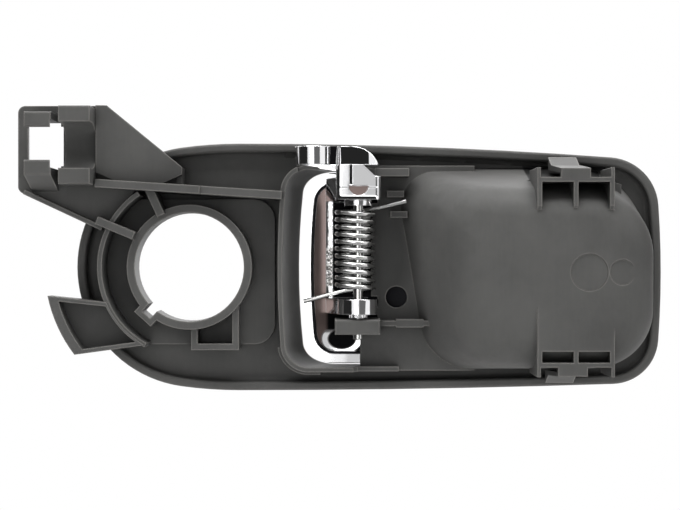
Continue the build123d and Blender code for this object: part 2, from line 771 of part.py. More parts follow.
def paddle():
    """Hollow paddle with a flat rim on its door side."""
    outside = slab(paddle_outline(0), lever_front_y + 1, lever_rear_y) & crown(0)
    front_edges = outside.edges().filter_by(lambda edge: edge.center().Y > lever_rear_y + lever_wall)
    front_edges = front_edges.filter_by(lambda edge: abs(edge.tangent_at(0.5).Y) < 0.7)
    outside = fillet(front_edges, lever_edge_r)
    hollow = slab(paddle_outline(lever_rim), lever_front_y, lever_rear_y - 1) & crown(lever_wall)
    step = slab(paddle_outline(lever_rim - lever_rim_step), lever_rear_y + lever_rim_step, lever_rear_y - 1)
    return outside - hollow - step


def arm_plan():
    """Plan of a lever arm: from the hub to the inside of the paddle."""
    front = lever_front_y - lever_wall
    web = Polygon((spine_left_x, spine_rear_y), (pivot_x - hub_r, pivot_y), (pivot_x + hub_r, pivot_y),
                  (pivot_x + hub_r / 2, lever_rear_y + lever_wall), (pivot_x + hub_r / 2, front),
                  (spine_left_x, front), align=None)
    return web + Pos(pivot_x, pivot_y) * Circle(hub_r)


def crank_plan():
    """Plan of the crank block: flat towards the door, with rounded corners."""
    rear = crank_face_y
    square = Pos(pivot_x, (rear + pivot_y) / 2) * Rectangle(2 * crank_half_width, pivot_y - rear)
    return fillet(square.vertices().group_by(Axis.Y)[0], crank_corner_r)


def cable_arm():
    """Arm for the cable's end: a barrel on a short bar, with a rounded shoulder."""
    barrel = (pivot_x - cable_arm_reach, pivot_y - cable_arm_back)
    plan = Pos(*barrel) * Circle(cable_barrel_r) + Pos(pivot_x, pivot_y) * Circle(cable_hub_r)
    near = (pivot_x, (crank_face_y + pivot_y) / 2)
    plan += strip(barrel, near, cable_bar_width) + crank_plan()
    arm = column(plan, cable_arm_bottom_z, cable_arm_top_z)
    shoulder_x = pivot_x - cable_shoulder_left
    cut = window(shoulder_x, through, cable_arm_top_z - cable_shoulder_r, through)
    cut -= Pos(shoulder_x, cable_arm_top_z - cable_shoulder_r) * Circle(cable_shoulder_r)
    crank_x = pivot_x - crank_half_width
    gusset = Polygon((crank_x - arm_gusset_reach, cable_arm_bottom_z), (crank_x, cable_arm_bottom_z),
                     (crank_x, cable_arm_bottom_z - arm_gusset), align=None)
    rear = barrel[1] - cable_bar_width / 2
    arm += slab(gusset, rear + cable_bar_width, rear)
    return arm - slab(cut, through / 2, -through / 2)


def upper_crank():
    """Upper arm with the crank block, its cover over the ear, and the cable arm."""
    crank = column(arm_plan() + crank_plan(), upper_hub_bottom_z, upper_hub_top_z)
    left = pivot_x - crank_half_width
    cover = Polygon((left, upper_hub_top_z), (pivot_x + crank_cover_low, upper_hub_top_z),
                    (pivot_x + crank_cover_top, cable_arm_bottom_z), (left, cable_arm_bottom_z), align=None)
    cover = slab(cover, crank_face_y + crank_cover_wall, crank_face_y)
    cover &= column(crank_plan(), upper_hub_bottom_z, cable_arm_top_z)
    boss = Pos(pivot_x, pivot_y) * Circle(spring_boss_r)
    crank += column(boss, coil_top_z + wire_r + spring_boss_gap, upper_hub_bottom_z)
    groove_x = pivot_x - crank_half_width / 3
    groove = block(groove_x - crank_groove / 2, groove_x + crank_groove / 2, crank_face_y - 1,
                   crank_face_y + crank_groove, upper_hub_top_z - rib_wall, cable_arm_bottom_z)
    recess_z = (upper_hub_bottom_z + upper_hub_top_z) / 2 + crank_groove
    recess = Circle(crank_recess_r) & window(-crank_recess_r, crank_recess_r, -crank_recess_r, 0)
    recess = slab(Pos(pivot_x, recess_z) * recess, crank_face_y + 2 * crank_groove, crank_face_y - 1)
    return crank + cover + cable_arm() - groove - recess


def lower_crank():
    """Lower arm with its hub and the ribbed collar that runs on the ear."""
    crank = column(arm_plan(), lower_hub_bottom_z, lower_hub_top_z)
    collar = Circle(neck_r)
    for number in range(neck_rib_count):
        turn = Rot(0, 0, number * 360 / neck_rib_count)
        collar += turn * window(0, neck_r + neck_rib, -neck_rib_width / 2, neck_rib_width / 2)
    return crank + column(Pos(pivot_x, pivot_y) * collar, ear_top_z + neck_gap, lower_hub_bottom_z)


def lever():
    """Pull lever: paddle, spine and both cranks in one piece."""
    spine = block(spine_left_x, spine_left_x + spine_wall, spine_rear_y, lever_front_y - lever_wall,
                  lower_hub_bottom_z, upper_hub_top_z)
    cranks = (spine + upper_crank() + lower_crank()) & (
        crown(lever_wall / 2) + block(-through, through, -through, lever_rear_y, -through, through))
    bore = column(Pos(pivot_x, pivot_y) * Circle(pin_r + pin_clearance), -through, cable_arm_bottom_z)
    return paddle() + cranks - bore


def pin():
    """Pivot pin with chamfered ends."""
    low = ear_bottom_z - pin_tip_length
    high = top_ear_top_z
    shaft = Pos(pivot_x, pivot_y, (low + high) / 2) * Cylinder(pin_r, high - low)
    return chamfer(shaft.edges().filter_by(GeomType.CIRCLE), pin_chamfer)


def leg_angle(end, side):
    """Angle on the coil where a straight leg to an end point leaves it as a tangent."""
    along = end[0] - coil_x
    across = end[1] - pivot_y
    return degrees(atan2(across, along) + side * acos(coil_r / hypot(along, across)))


def spring():
    """Left-hand torsion spring with a leg to the well floor and a leg to the lever's rim."""
    upper_end = (upper_leg_end_x, upper_leg_end_y)
    lower_end = (lever_left_x + wire_r, lever_rear_y - wire_r - leg_seat_gap)
    start_angle = leg_angle(lower_end, -1)
    turns = coil_turns - (leg_angle(upper_end, 1) - start_angle) / 360
    low = coil_top_z - turns * coil_pitch
    helix = Helix(coil_pitch, turns * coil_pitch, coil_r, center=(coil_x, pivot_y, low), lefthand=True)
    helix = helix.rotate(Axis((coil_x, pivot_y, 0), (0, 0, 1)), start_angle)
    lower_tip = Vector(*lower_end, low - lower_leg_fall)
    upper_tip = Vector(*upper_end, coil_top_z + upper_leg_rise)
    lower_run = (helix @ 0 - lower_tip).normalized()
    upper_run = (upper_tip - helix @ 1).normalized()
    lower_leg = Spline(lower_tip, helix @ 0, tangents=[lower_run, helix % 0])
    upper_leg = Spline(helix @ 1, upper_tip, tangents=[helix % 1, upper_run])
    profile = Plane(origin=lower_tip, z_dir=lower_run) * Circle(wire_r)
    return sweep(profile, path=Wire([lower_leg, helix, upper_leg]))


os.makedirs("parts", exist_ok=True)
pieces = {
    "bezel_housing": housing(),
    "pull_lever": lever(),
    "pivot_pin": pin(),
    "return_spring": spring(),
}
for name, piece in pieces.items():
    export_step(piece, os.path.join("parts", name + ".step"))
    print(name, round(piece.volume, 1), len(piece.solids()))
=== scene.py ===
import logging
import math
from dataclasses import dataclass
from enum import Enum
from typing import NamedTuple

import bpy
import numpy as np
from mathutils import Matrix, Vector


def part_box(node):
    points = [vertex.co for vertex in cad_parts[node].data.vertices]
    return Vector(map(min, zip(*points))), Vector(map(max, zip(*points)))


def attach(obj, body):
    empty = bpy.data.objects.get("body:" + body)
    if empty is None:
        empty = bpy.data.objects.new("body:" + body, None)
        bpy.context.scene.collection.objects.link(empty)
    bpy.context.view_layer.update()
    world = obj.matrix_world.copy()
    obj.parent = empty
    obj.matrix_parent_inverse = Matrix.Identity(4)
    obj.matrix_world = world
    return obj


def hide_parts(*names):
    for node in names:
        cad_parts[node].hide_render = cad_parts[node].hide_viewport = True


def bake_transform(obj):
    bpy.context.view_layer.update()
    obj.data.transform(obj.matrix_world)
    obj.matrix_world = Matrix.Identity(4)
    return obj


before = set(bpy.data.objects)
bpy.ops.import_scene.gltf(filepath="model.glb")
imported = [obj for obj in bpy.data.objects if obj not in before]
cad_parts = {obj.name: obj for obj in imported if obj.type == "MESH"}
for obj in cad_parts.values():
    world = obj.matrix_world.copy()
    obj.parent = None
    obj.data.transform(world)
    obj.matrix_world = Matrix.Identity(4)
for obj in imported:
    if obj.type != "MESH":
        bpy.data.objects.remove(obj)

# Looks of a car's interior door handle, seen from the door side. Lengths are in metres, in the part's own frame:
# X along the bezel towards the finger pocket, Y into the cabin, Z up, origin on the switch hole's axis.

LOG = logging.getLogger("door_handle")
MM = 0.001
WELD_DIGITS = 7
BEVEL_SAMPLES = 4
SKY_SAMPLES = 8
Colour = tuple[float, float, float]
Point = tuple[float, float, float]
Span = tuple[float, float]
Socket = bpy.types.NodeSocket
WHITE: Colour = (1.0, 1.0, 1.0)


class Body(str, Enum):
    """Rigid bodies of the handle."""

    HOUSING = "housing"
    LEVER = "lever"


class Slot(str, Enum):
    """Names of the material slots."""

    PLASTIC = "dark_plastic"
    CHROME = "lever_chrome"
    PIN = "pin_steel"
    SPRING = "spring_steel"


class Axes(NamedTuple):
    """Sockets with the separate coordinates of a vector."""

    x: Socket
    y: Socket
    z: Socket


class NodeTree:
    """Short hand for building a shader out of nodes."""

    def __init__(self, tree: bpy.types.NodeTree) -> None:
        """Empties the tree.

        Args:
            tree: node tree of a material or of the world.
        """
        self.tree = tree
        tree.nodes.clear()

    def add(self, kind: str, values: dict[str, object] | None = None, **settings: object) -> bpy.types.Node:
        """Adds a node.

        Args:
            kind: Blender's name for the type of node.
            values: constant values by socket name.
            settings: properties of the node itself.

        Returns:
            The new node.
        """
        node = self.tree.nodes.new(kind)
        for name, value in settings.items():
            setattr(node, name, value)
        for name, value in (values or {}).items():
            node.inputs[name].default_value = value
        return node

    def link(self, source: Socket, target: Socket) -> None:
        """Joins an output socket to an input socket."""
        self.tree.links.new(source, target)

    def feed(self, target: Socket, source: object) -> None:
        """Feeds an input socket.

        Args:
            target: the input socket.
            source: another socket, which is linked, or a constant, which is set.
        """
        if isinstance(source, bpy.types.NodeSocket):
            self.link(source, target)
        else:
            target.default_value = source

    def close(self, surface: Socket, kind: str = "ShaderNodeOutputMaterial") -> None:
        """Links a finished shader to a new output node."""
        self.link(surface, self.add(kind).inputs["Surface"])

    def ramp(self, value: Socket, start: float, end: float, low: float = 0.0, high: float = 1.0) -> Socket:
        """Maps a value from one span to another, held at both ends.

        Args:
            value: socket with the value.
            start: value that maps to low.
            end: value that maps to high.
            low: result at the start.
            high: result at the end.

        Returns:
            Socket with the result.
        """
        node = self.add("ShaderNodeMapRange", {"From Min": start, "From Max": end, "To Min": low, "To Max": high})
        self.link(value, node.inputs["Value"])
        return node.outputs["Result"]

    def reckon(self, operation: str, first: object, second: object) -> Socket:
        """Works out one sum of two numbers.

        Args:
            operation: Blender's name for the operation.
            first: socket or number.
            second: socket or number.

        Returns:
            Socket with the result.
        """
        node = self.add("ShaderNodeMath", operation=operation)
        self.feed(node.inputs[0], first)
        self.feed(node.inputs[1], second)
        return node.outputs["Value"]

    def times(self, first: object, *others: object) -> Socket:
        """Multiplies numbers.

        Args:
            first: socket or number.
            others: sockets or numbers to multiply it by, one after the other.

        Returns:
            Socket with the product.
        """
        for other in others:
            first = self.reckon("MULTIPLY", first, other)
        return first

    def tint(self, factor: Socket, first: object, second: object) -> Socket:
        """Mixes two colours.

        Args:
            factor: socket with the share of the second colour.
            first: socket or colour with alpha.
            second: socket or colour with alpha.

        Returns:
            Socket with the mixed colour.
        """
        node = self.add("ShaderNodeMix", data_type="RGBA")
        self.link(factor, node.inputs["Factor"])
        self.feed(node.inputs["A"], first)
        self.feed(node.inputs["B"], second)
        return node.outputs["Result"]

    def mix(self, factor: Socket, first: Socket, second: Socket) -> Socket:
        """Mixes two shaders.

        Args:
            factor: socket with the share of the second shader.
            first: socket with a shader.
            second: socket with a shader.

        Returns:
            Socket with the mixed shader.
        """
        node = self.add("ShaderNodeMixShader")
        self.link(factor, node.inputs["Fac"])
        self.link(first, node.inputs[1])
        self.link(second, node.inputs[2])
        return node.outputs["Shader"]

    def axes(self, vector: Socket) -> Axes:
        """Splits a vector.

        Args:
            vector: socket with the vector.

        Returns:
            Its separate coordinates.
        """
        node = self.add("ShaderNodeSeparateXYZ")
        self.link(vector, node.inputs["Vector"])
        return Axes(*node.outputs)

    def noise(self, place: Socket, scale: float | Point, detail: float, roughness: float) -> Socket:
        """Adds a cloudy noise.

        Args:
            place: socket with the place.
            scale: one scale for every direction, or one for each axis.
            detail: number of finer layers.
            roughness: share of the finer layers.

        Returns:
            Socket with the noise, between 0 and 1.
        """
        texture = self.add("ShaderNodeTexNoise", {"Detail": detail, "Roughness": roughness})
        if isinstance(scale, tuple):
            stretch = self.add("ShaderNodeMapping", {"Scale": scale})
            self.link(place, stretch.inputs["Vector"])
            place, scale = stretch.outputs["Vector"], 1.0
        texture.inputs["Scale"].default_value = scale
        self.link(place, texture.inputs["Vector"])
        return texture.outputs["Fac"]

    def distance(self, place: Socket, shift: Point, scale: Point = (1.0, 1.0, 1.0)) -> Socket:
        """Measures how far a place lies from the origin after it is scaled and shifted.

        Args:
            place: socket with the place.
            shift: what is added along each axis, after scaling.
            scale: what each axis is multiplied by.

        Returns:
            Socket with the distance.
        """
        move = self.add("ShaderNodeMapping", {"Location": shift, "Scale": scale})
        self.link(place, move.inputs["Vector"])
        length = self.add("ShaderNodeVectorMath", operation="LENGTH")
        self.link(move.outputs["Vector"], length.inputs[0])
        return length.outputs["Value"]

    def oval(self, place: Socket, centre: Span, half: Span) -> Socket:
        """Measures how far a place lies from an upright ellipse's centre.

        Args:
            place: socket with the place.
            centre: middle of the ellipse along X and Z.
            half: half its width along X and half its height along Z.

        Returns:
            Socket with the distance, which is one on the ellipse.
        """
        scale = (1.0 / half[0], 0.0, 1.0 / half[1])
        return self.distance(place, (-centre[0] * scale[0], 0.0, -centre[1] * scale[2]), scale)

    def softened(self, radius: float) -> Socket:
        """Gives the normal that edges rounded by a radius would have."""
        return self.add("ShaderNodeBevel", {"Radius": radius}, samples=BEVEL_SAMPLES).outputs["Normal"]

    def bump(self, height: Socket, strength: object, distance: float, normal: Socket) -> Socket:
        """Roughens a normal.

        Args:
            height: socket with the height of the surface, between 0 and 1.
            strength: socket or number with the share of the bump.
            distance: length that a height of one stands for.
            normal: socket with the normal so far.

        Returns:
            Socket with the roughened normal.
        """
        node = self.add("ShaderNodeBump", {"Distance": distance})
        self.feed(node.inputs["Strength"], strength)
        self.link(height, node.inputs["Height"])
        self.link(normal, node.inputs["Normal"])
        return node.outputs["Normal"]

    def edges(self, radius: float, gain: float) -> Socket:
        """Finds the places near an edge.

        Args:
            radius: reach of an edge.
            gain: how fast the result grows towards the edge.

        Returns:
            Socket that is zero on open faces and grows where a rounded edge would leave the true normal.
        """
        across = self.add("ShaderNodeVectorMath", operation="DOT_PRODUCT")
        self.link(self.softened(radius), across.inputs[0])
        self.link(self.add("ShaderNodeNewGeometry").outputs["Normal"], across.inputs[1])
        return self.ramp(across.outputs["Value"], 1.0, 0.0, 0.0, gain)


def opaque(colour: Colour) -> tuple[float, float, float, float]:
    """Adds full alpha to a colour."""
    return (*colour, 1.0)


def new_material(name: str) -> tuple[bpy.types.Material, NodeTree]:
    """Makes an empty material.

    Args:
        name: name of the material.

    Returns:
        The material, and its node tree to build in.
    """
    material = bpy.data.materials.new(name)
    material.use_nodes = True
    return material, NodeTree(material.node_tree)


@dataclass(frozen=True)
class MouldedPlastic:
    """Dark grey plastic with a satin grain, faint flow marks, painted shade in its recesses, and paler edges that are
    partly wear and partly painted highlight.
    """

    name: str = "moulded_plastic"
    specular: float = 0.18
    roughness: Span = (0.44, 0.60)
    edge_radius: float = 0.4 * MM
    grain_scale: float = 3600.0
    grain_height: float = 0.018 * MM
    grain_strength: float = 0.6
    # Drift between two greys
    deep: Colour = (0.082, 0.081, 0.079)
    pale: Colour = (0.117, 0.116, 0.112)
    drift_span: Span = (0.3, 0.7)
    mottle_scale: float = 46.0
    mottle_share: float = 0.86
    streak_scale: Point = (1100.0, 1100.0, 90.0)
    streak_share: float = 0.14
    # Painted shade: darker in recesses, less of it on the deck beside the switch ring, and more of it in the well
    # beside the spring
    recess_shade: Colour = (0.030, 0.030, 0.029)
    recess_shade_reach: float = 11.0 * MM
    recess_shade_span: Span = (0.92, 0.2)
    recess_shade_share: float = 0.8
    shade_relief_centre: Span = (18.5 * MM, -2.0 * MM)
    shade_relief_half: Span = (11.0 * MM, 26.0 * MM)
    shade_relief_span: Span = (0.6, 1.2)
    well_shade_centre: Span = (60.0 * MM, 4.0 * MM)
    well_shade_half: Span = (9.0 * MM, 21.0 * MM)
    well_shade_span: Span = (1.25, 0.6)
    well_shade_share: float = 0.62
    # Painted shade: near-black slot under the upper clip's tongue
    slot_shade: Colour = (0.007, 0.007, 0.007)
    slot_shade_x: Span = (103.1 * MM, 128.6 * MM)
    slot_shade_y: Span = (-12.5 * MM, 3.6 * MM)
    slot_shade_band: Span = (28.5 * MM, 30.4 * MM)
    slot_shade_slope: float = 0.298
    slot_shade_blur: float = 0.3 * MM
    slot_shade_facing: float = -0.15
    # Paler edges, partly wear and partly painted highlight, where the sky above them is open
    worn_highlight: Colour = (0.26, 0.25, 0.234)
    worn_highlight_reach: float = 0.75 * MM
    worn_highlight_gain: float = 5.0
    worn_highlight_span: Span = (0.60, 0.82)

    def build(self) -> bpy.types.Material:
        """Makes the material.

        Returns:
            Material whose colour drifts with noise, takes painted shade where the open sky is narrow, and pales at
            edges with wear and painted highlight, with a fine noise as grain.
        """
        material, graph = new_material(self.name)
        place = graph.add("ShaderNodeTexCoord")
        spot = place.outputs["Object"]
        shader = graph.add("ShaderNodeBsdfPrincipled", {"Specular IOR Level": self.specular})
        occlusion = graph.add("ShaderNodeAmbientOcclusion", {"Distance": self.recess_shade_reach}, samples=SKY_SAMPLES,
                              only_local=True)
        sky = occlusion.outputs["AO"]
        colour = graph.tint(self.drift(graph, spot), opaque(self.deep), opaque(self.pale))
        # Painted shade: darker in recesses, less on the deck beside the switch ring, more in the well beside the
        # spring
        colour = graph.tint(self.painted_shade(graph, spot, sky), colour, opaque(self.recess_shade))
        # Painted shade: the slot under the upper clip's tongue is painted near black
        colour = graph.tint(self.tongue_slot_shade(graph, place), colour, opaque(self.slot_shade))
        # Paler edges where the open sky is wide: partly wear, partly painted highlight
        worn_lit_edge = graph.times(graph.edges(self.worn_highlight_reach, self.worn_highlight_gain), graph.ramp(sky, *self.worn_highlight_span))
        graph.link(graph.tint(worn_lit_edge, colour, opaque(self.worn_highlight)), shader.inputs["Base Color"])
        grain = graph.noise(spot, self.grain_scale, detail=2.0, roughness=0.5)
        graph.link(graph.ramp(grain, 0.0, 1.0, *self.roughness), shader.inputs["Roughness"])
        normal = graph.bump(grain, self.grain_strength, self.grain_height, graph.softened(self.edge_radius))
        graph.link(normal, shader.inputs["Normal"])
        graph.close(shader.outputs["BSDF"])
        return material

    def drift(self, graph: NodeTree, spot: Socket) -> Socket:
        """Works out the drift from the deep grey to the pale one.

        Args:
            graph: node tree of the material.
            spot: socket with the place on the housing.

        Returns:
            Socket with the share of the pale grey: a wide noise, and fine upright streaks.
        """
        mottle = graph.noise(spot, self.mottle_scale, detail=5.0, roughness=0.6)
        streak = graph.noise(spot, self.streak_scale, detail=3.0, roughness=0.6)
        return graph.reckon("ADD", graph.ramp(mottle, *self.drift_span, 0.0, self.mottle_share),
                            graph.ramp(streak, *self.drift_span, 0.0, self.streak_share))

    def painted_shade(self, graph: NodeTree, spot: Socket, sky: Socket) -> Socket:
        """Works out where shade is painted.

        Args:
            graph: node tree of the material.
            spot: socket with the place on the housing.
            sky: socket with the share of open sky.

        Returns:
            Socket with the share of grime.
        """
        # Painted shade grows as the open sky narrows
        closed = graph.ramp(sky, *self.recess_shade_span, 0.0, self.recess_shade_share)
        shade_relief = graph.oval(spot, self.shade_relief_centre, self.shade_relief_half)
        well_shade = graph.oval(spot, self.well_shade_centre, self.well_shade_half)
        return graph.reckon("MAXIMUM", graph.times(closed, graph.ramp(shade_relief, *self.shade_relief_span)),
                            graph.ramp(well_shade, *self.well_shade_span, 0.0, self.well_shade_share))

    def tongue_slot_shade(self, graph: NodeTree, place: bpy.types.Node) -> Socket:
        """Marks the narrow slot under the upper clip's tongue, where near-black shade is painted.

        Args:
            graph: node tree of the material.
            place: node with the place and the normal on the housing.

        Returns:
            Socket with the mark: a band along the pocket's sloping flank, on faces that look back or up.
        """
        at = graph.axes(place.outputs["Object"])
        rise = graph.reckon("SUBTRACT", at.z, graph.times(at.y, self.slot_shade_slope))
        mark = graph.reckon("LESS_THAN", graph.axes(place.outputs["Normal"]).y, self.slot_shade_facing)
        for value, (low, high) in ((at.x, self.slot_shade_x), (at.y, self.slot_shade_y), (rise, self.slot_shade_band)):
            mark = graph.times(mark, graph.ramp(value, low - self.slot_shade_blur, low),
                               graph.ramp(value, high + self.slot_shade_blur, high))
        return mark


@dataclass(frozen=True)
class BrightMetal:
    """Metal finish with a fine surface wave: chrome plate, ground steel or drawn wire."""

    name: str
    colour: Colour
    roughness: Span
    wave_scale: Point
    wave_height: float
    edge_radius: float
    wave_strength: float = 0.5

    def build(self) -> bpy.types.Material:
        """Makes the material.

        Returns:
            Metal whose roughness and height follow a noise that is stretched along the work's direction.
        """
        material, graph = new_material(self.name)
        place = graph.add("ShaderNodeTexCoord").outputs["Object"]
        shader = graph.add("ShaderNodeBsdfPrincipled", {"Base Color": opaque(self.colour), "Metallic": 1.0})
        wave = graph.noise(place, self.wave_scale, detail=3.0, roughness=0.55)
        graph.link(graph.ramp(wave, 0.0, 1.0, *self.roughness), shader.inputs["Roughness"])
        normal = graph.bump(wave, self.wave_strength, self.wave_height, graph.softened(self.edge_radius))
        graph.link(normal, shader.inputs["Normal"])
        graph.close(shader.outputs["BSDF"])
        self.refine(graph, place, shader)
        return material

    def refine(self, graph: NodeTree, place: Socket, shader: bpy.types.Node) -> None:
        """Leaves the plain metal as it is."""


class Plating(str, Enum):
    """Marks on the lever's faces where its plating differs, and where shade is painted in the step and the groove."""

    THIN = "plating_thin"
    STEP_SHADE = "plating_step_shade"
    CAST = "plating_cast"


@dataclass(frozen=True)
class LeverPlating(BrightMetal):
    """Chrome that thins out in the lever's hollow, where shade is painted, shows the casting on its spine and rolls
    off at the crank.
    """

    # Hollow: thin plating, painted shade further in, and bright edges
    thin_colour: Colour = (0.185, 0.142, 0.132)
    thin_roughness: float = 0.30
    hollow_shade: Colour = (0.009, 0.009, 0.010)
    hollow_shade_span: Span = (41.3 * MM, 42.4 * MM)
    edge_reach: float = 0.55 * MM
    edge_gain: float = 2.6
    # Bright crescent at the hollow's lower end
    glint_centre: Span = (46.6 * MM, -22.6 * MM)
    glint_half: Span = (4.3 * MM, 3.1 * MM)
    glint_inner: Span = (0.96, 1.10)
    glint_outer: Span = (1.55, 1.40)
    glint_top: float = -19.5 * MM
    glint_fade: float = 1.5 * MM
    glint_lean: float = 0.13
    # Spine: painted shade on its left, bright on its right, and rough in its middle
    spine_shade: Colour = (0.03, 0.03, 0.03)
    spine_span: Span = (42.15 * MM, 42.75 * MM)
    ragged_span: Span = (0.2, 0.8)
    ragged_half: float = 0.4 * MM
    cast_dark: Colour = (0.10, 0.095, 0.09)
    cast_pale: Colour = (0.80, 0.79, 0.78)
    cast_roughness: float = 0.16
    speckle_span: Span = (0.38, 0.62)
    patch_half: float = 5.6 * MM
    patch_fade: float = 0.6 * MM
    patch_floor: float = 0.3
    grain_scale: float = 1500.0
    grain_height: float = 0.26 * MM
    # Crank's face: its cap, its seam and its lower edge roll off
    face_x: float = 44.6 * MM
    face_y: float = -15.35 * MM
    cap_low: float = 30.7 * MM
    cap_fade: float = 0.2 * MM
    cap_lean: float = 0.46
    sway_scale: Point = (260.0, 260.0, 70.0)
    sway_span: Span = (0.25, 0.75)
    sway_share: Span = (0.4, 1.6)
    roll_span: Span = (21.6 * MM, 21.0 * MM)
    roll_lean: float = 0.48
    seam_z: float = 24.0 * MM
    seam_half: float = 0.12 * MM

    def refine(self, graph: NodeTree, place: Socket, shader: bpy.types.Node) -> None:
        """Adds the marks of the lever's plating, with painted shade in its hollow.

        Args:
            graph: node tree of the material.
            place: socket with the place on the lever.
            shader: its surface shader, with the plain chrome linked in.
        """
        at = graph.axes(place)
        thin, step_shade, cast = (graph.add("ShaderNodeAttribute", attribute_name=mark.value).outputs["Fac"]
                            for mark in (Plating.THIN, Plating.STEP_SHADE, Plating.CAST))
        haze, plain = (shader.inputs[name].links[0].from_socket for name in ("Roughness", "Normal"))
        glint = self.glint(graph, place, at)
        hidden = graph.reckon("SUBTRACT", 1.0, glint)
        thin_or_shaded = graph.times(thin, graph.reckon("MAXIMUM", hidden, step_shade))
        speckle = graph.noise(place, self.grain_scale, detail=2.0, roughness=0.6)
        patch = self.patch(graph, at)
        # Painted shade: the hollow's floors turn near black further in, and in the step and the groove
        tone = graph.tint(thin_or_shaded, opaque(self.colour), self.hollow(graph, at, hidden, step_shade))
        tone = graph.tint(cast, tone, self.spine(graph, at, patch, speckle))
        edge = graph.times(graph.edges(self.edge_reach, self.edge_gain), graph.reckon("SUBTRACT", thin_or_shaded, step_shade))
        graph.link(graph.tint(edge, tone, opaque(self.colour)), shader.inputs["Base Color"])
        dull = graph.reckon("MAXIMUM", graph.times(thin_or_shaded, self.thin_roughness), graph.times(cast, self.cast_roughness))
        graph.link(graph.reckon("MAXIMUM", haze, dull), shader.inputs["Roughness"])
        strength = graph.times(cast, graph.ramp(patch, 0.0, 1.0, self.patch_floor, 1.0))
        normal = graph.bump(speckle, strength, self.grain_height, plain)
        slope = graph.reckon("ADD", self.roll_off(graph, place, at), graph.times(thin, glint, self.glint_lean))
        graph.link(self.lean(graph, slope, normal), shader.inputs["Normal"])

    def glint(self, graph: NodeTree, place: Socket, at: Axes) -> Socket:
        """Marks the bright crescent at the hollow's lower end: between two ellipses and below a height.

        Args:
            graph: node tree of the material.
            place: socket with the place on the lever.
            at: the place's separate coordinates.

        Returns:
            Socket with the share of plain chrome, which the hollow's painted shade leaves out.
        """
        radius = graph.oval(place, self.glint_centre, self.glint_half)
        below = graph.ramp(at.z, self.glint_top, self.glint_top - self.glint_fade)
        return graph.times(graph.ramp(radius, *self.glint_inner), graph.ramp(radius, *self.glint_outer), below)

    def hollow(self, graph: NodeTree, at: Axes, hidden: Socket, step_shade: Socket) -> Socket:
        """Colours the hollow: thin plating, and painted shade further in and on the step and the groove.

        Args:
            graph: node tree of the material.
            at: separate coordinates of the place on the lever.
            hidden: socket that is zero on the bright crescent.
            step_shade: socket with the mark of the step and the groove, which take painted shade.

        Returns:
            Socket with the colour.
        """
        inside = graph.reckon("GREATER_THAN", at.y, 0.0)
        # Painted shade further into the hollow, left out on the bright crescent
        inner_shade = graph.times(graph.ramp(at.x, *self.hollow_shade_span), inside, hidden)
        return graph.tint(graph.reckon("MAXIMUM", inner_shade, step_shade), opaque(self.thin_colour), opaque(self.hollow_shade))

    def patch(self, graph: NodeTree, at: Axes) -> Socket:
        """Marks the middle of the spine, where its casting is roughest."""
        away = graph.reckon("ABSOLUTE", at.z, 0.0)
        return graph.ramp(away, self.patch_half + self.patch_fade, self.patch_half)

    def spine(self, graph: NodeTree, at: Axes, patch: Socket, speckle: Socket) -> Socket:
        """Colours the spine: painted shade on its left, bright on its right, and speckled all over in its middle.

        Args:
            graph: node tree of the material.
            at: separate coordinates of the place on the lever.
            patch: socket with the mark of the middle.
            speckle: socket with the grain's noise.

        Returns:
            Socket with the colour.
        """
        stray = graph.ramp(speckle, *self.ragged_span, -self.ragged_half, self.ragged_half)
        across = graph.ramp(graph.reckon("ADD", at.x, stray), *self.spine_span)
        strip = graph.tint(across, opaque(self.spine_shade), opaque(self.colour))
        grain = graph.tint(graph.ramp(speckle, *self.speckle_span), opaque(self.cast_dark), opaque(self.cast_pale))
        return graph.tint(patch, strip, grain)

    def roll_off(self, graph: NodeTree, place: Socket, at: Axes) -> Socket:
        """Works out how far the crank's face rolls off at its cap, its seam and its lower edge.

        Args:
            graph: node tree of the material.
            place: socket with the place on the lever.
            at: the place's separate coordinates.

        Returns:
            Socket with the sideways slope.
        """
        sway = graph.noise(place, self.sway_scale, detail=1.0, roughness=0.5)
        swayed = graph.ramp(sway, *self.sway_span, *(share * self.cap_lean for share in self.sway_share))
        cap = graph.times(graph.ramp(at.z, self.cap_low, self.cap_low + self.cap_fade), swayed)
        away = graph.reckon("ABSOLUTE", graph.reckon("SUBTRACT", at.z, self.seam_z), 0.0)
        seam = graph.ramp(away, 2 * self.seam_half, self.seam_half, 0.0, self.roll_lean)
        roll = graph.reckon("MAXIMUM", graph.ramp(at.z, *self.roll_span, 0.0, self.roll_lean), seam)
        face = graph.times(graph.reckon("LESS_THAN", at.y, self.face_y),
                           graph.reckon("GREATER_THAN", at.x, self.face_x))
        return graph.times(graph.reckon("ADD", cap, roll), face)

    def lean(self, graph: NodeTree, slope: Socket, normal: Socket) -> Socket:
        """Leans a normal along the lever's own -X, so that the lean turns with the lever.

        Args:
            graph: node tree of the material.
            slope: socket with the slope.
            normal: socket with the normal so far.

        Returns:
            Socket with the leaning normal.
        """
        along = graph.add("ShaderNodeCombineXYZ")
        graph.link(graph.times(slope, -1.0), along.inputs["X"])
        world = graph.add("ShaderNodeVectorTransform", vector_type="VECTOR", convert_from="OBJECT", convert_to="WORLD")
        graph.link(along.outputs["Vector"], world.inputs["Vector"])
        total = graph.add("ShaderNodeVectorMath", operation="ADD")
        graph.link(normal, total.inputs[0])
        graph.link(world.outputs["Vector"], total.inputs[1])
        unit = graph.add("ShaderNodeVectorMath", operation="NORMALIZE")
        graph.link(total.outputs["Vector"], unit.inputs[0])
        return unit.outputs["Vector"]


